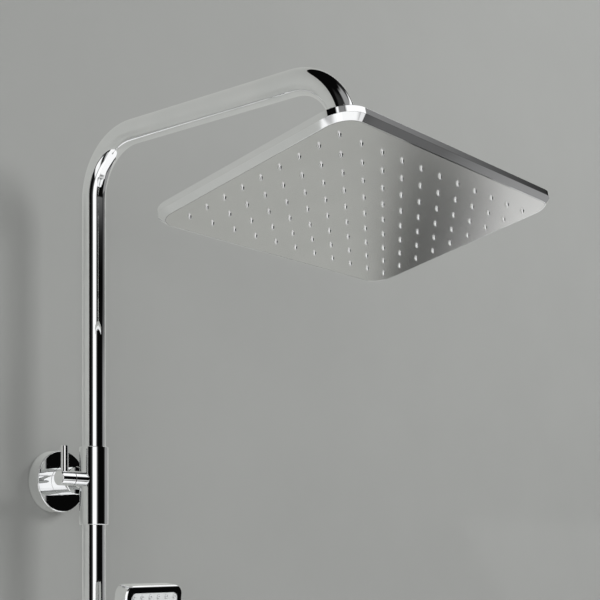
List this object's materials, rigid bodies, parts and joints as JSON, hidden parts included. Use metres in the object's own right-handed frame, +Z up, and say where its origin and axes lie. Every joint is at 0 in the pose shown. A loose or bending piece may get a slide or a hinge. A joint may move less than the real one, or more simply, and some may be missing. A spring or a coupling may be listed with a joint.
{
  "type": "shower system",
  "caption": "Wall-mounted chrome shower column: riser with bent arm, flat rectangular overhead shower on a ball joint, turning diverter knob, and a hand shower in a sliding, tilting holder.",
  "frame": {"origin": "centre of the upper wall inlet, on the wall's surface", "axes": "+X right along the wall seen from the room, +Y into the wall, +Z up along the riser"},
  "size_m": [0.294, 0.523, 0.9744],
  "materials": {
    "chrome": "polished chrome plate",
    "satin_face": "satin, fine matt sheen",
    "nozzle_metal": "bright turned",
    "brass": "plain turned",
    "steel": "plain stainless",
    "rubber": "matt black",
    "foam": "grey foam",
    "ivory_plastic": "natural acetal",
    "grey_plastic": "grey nylon",
    "light_grey_face": "light grey, semi-gloss"
  },
  "bodies": {
    "wall_set": {"inlet_nipple": "brass", "nipple_washer": "rubber", "wall_rosette": "chrome", "rosette_seal": "foam", "inlet_stem": "chrome", "stem_o_ring": "rubber", "stem_grub_screw": "steel", "diverter_body": "chrome", "cartridge_sleeve": "ivory_plastic", "cartridge_seals": "rubber", "cartridge_clip": "steel", "tube_seals": "rubber", "arm_thrust_washer": "ivory_plastic", "tube_grub_screws": "steel", "lower_riser": "chrome", "outlet_body": "chrome", "outlet_tube_seal": "rubber", "outlet_grub_screws": "steel", "check_valve": "ivory_plastic", "lower_stem": "chrome", "lower_rosette": "chrome", "lower_rosette_seal": "foam", "hanger_bolt": "steel", "wall_plug": "grey_plastic"},
    "arm": {"overhead_arm": "chrome", "arm_end_fitting": "brass", "ball_connector": "chrome", "strainer_washer": "rubber", "flow_limiter": "ivory_plastic"},
    "ball_seat": {"ball_seat": "ivory_plastic"},
    "ball_seal": {"ball_seal": "rubber"},
    "overhead_shower": {"socket_housing": "chrome", "socket_ring": "chrome", "housing_seal": "rubber", "housing_nut": "brass", "head_shell": "chrome", "head_gasket": "rubber", "nozzle_plate": "nozzle_metal", "face_plate": "satin_face", "head_screws": "steel"},
    "knob": {"diverter_knob": "chrome", "diverter_pin": "chrome", "diverter_spindle": "brass", "spindle_seals": "rubber", "knob_grub_screw": "steel"},
    "bush": {"slider_bush": "ivory_plastic"},
    "slider": {"slider_body": "chrome", "slider_cap": "chrome", "pivot_screw": "steel", "button_spring": "steel"},
    "button": {"brake_ring": "steel", "lock_button": "chrome"},
    "holder": {"holder_cone": "chrome"},
    "hand_shower": {"hand_shell": "chrome", "hand_face": "light_grey_face", "hand_nozzles": "light_grey_face", "hand_flow_tube": "ivory_plastic", "hand_inlet": "brass", "hand_filter": "rubber"}
  },
  "joints": [
    {"name": "arm_swivel", "type": "hinge", "parent": "wall_set", "child": "arm", "pos_m": [0, -0.06, 0], "axis": [0, 0, 1], "range_deg": [-30, 30]},
    {"name": "head_tilt", "type": "hinge", "parent": "arm", "child": "ball_seat", "pos_m": [0, -0.37423, 0.22243], "axis": [1, 0, 0], "range_deg": [-12.5, 7.5]},
    {"name": "head_roll", "type": "hinge", "parent": "ball_seat", "child": "ball_seal", "pos_m": [0, -0.37423, 0.22243], "axis": [0, 0.975, -0.2222], "range_deg": [-10, 10]},
    {"name": "head_spin", "type": "hinge", "parent": "ball_seal", "child": "overhead_shower", "pos_m": [0, -0.37423, 0.22243], "axis": [0, 0.2222, 0.975], "continuous": true},
    {"name": "diverter_turn", "type": "hinge", "parent": "wall_set", "child": "knob", "pos_m": [-0.036, -0.06, 0], "axis": [1, 0, 0], "range_deg": [0, 180]},
    {"name": "slider_slide", "type": "slide", "parent": "wall_set", "child": "bush", "axis": [0, 0, 1], "range_m": [-0.24, 0.22]},
    {"name": "slider_swivel", "type": "hinge", "parent": "bush", "child": "slider", "pos_m": [0, -0.06, -0.292], "axis": [0, 0, 1], "range_deg": [-45, 45]},
    {"name": "lock_press", "type": "slide", "parent": "slider", "child": "button", "axis": [-1, 0, 0], "range_m": [0, 0.002], "stiffness_N_per_m": 800, "springref_m": -0.002, "deforming": ["button_spring"]},
    {"name": "holder_tilt", "type": "hinge", "parent": "slider", "child": "holder", "pos_m": [0, -0.087, -0.292], "axis": [1, 0, 0], "range_deg": [-5, 15]},
    {"name": "handset_lift", "type": "slide", "parent": "holder", "child": "hand_shower", "axis": [0, -0.1253, 0.9921], "range_m": [0, 0.07]}
  ]
}
